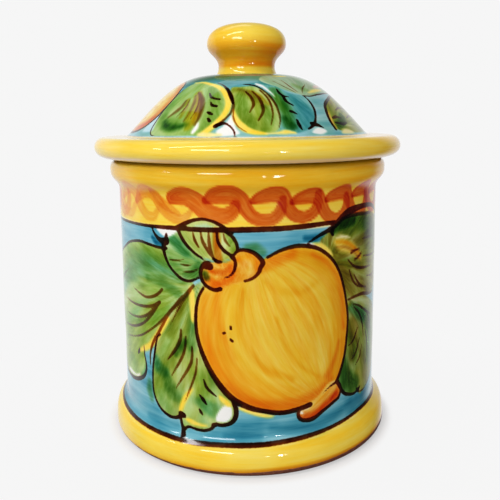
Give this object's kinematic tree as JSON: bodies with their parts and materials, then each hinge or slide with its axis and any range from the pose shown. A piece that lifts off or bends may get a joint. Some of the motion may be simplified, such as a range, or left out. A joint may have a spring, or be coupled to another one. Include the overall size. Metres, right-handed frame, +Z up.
{
  "type": "ceramic canister",
  "caption": "Cylindrical glazed earthenware storage canister with a rolled rim and foot and a loose domed lid with a flange and a round knob.",
  "frame": {"origin": "bottom centre of the foot, in the plane that the jar stands on", "axes": "+Z up along the turning axis of jar, lid and knob; -Y is the front with the large fruit, +X is to the right seen from the front"},
  "size_m": [0.1262, 0.1262, 0.1682],
  "materials": {
    "jar_glaze": "clear gloss over painted tin glaze",
    "lid_glaze": "clear gloss over painted tin glaze",
    "knob_glaze": "clear gloss over yellow tin glaze"
  },
  "bodies": {
    "jar": {"jar_body": "jar_glaze"},
    "lid": {"lid": "lid_glaze", "lid_knob": "knob_glaze"}
  },
  "joints": [
    {"name": "lid_lift", "type": "slide", "parent": "jar", "child": "lid", "axis": [0, 0, 1], "range_m": [0, 0.08]}
  ]
}
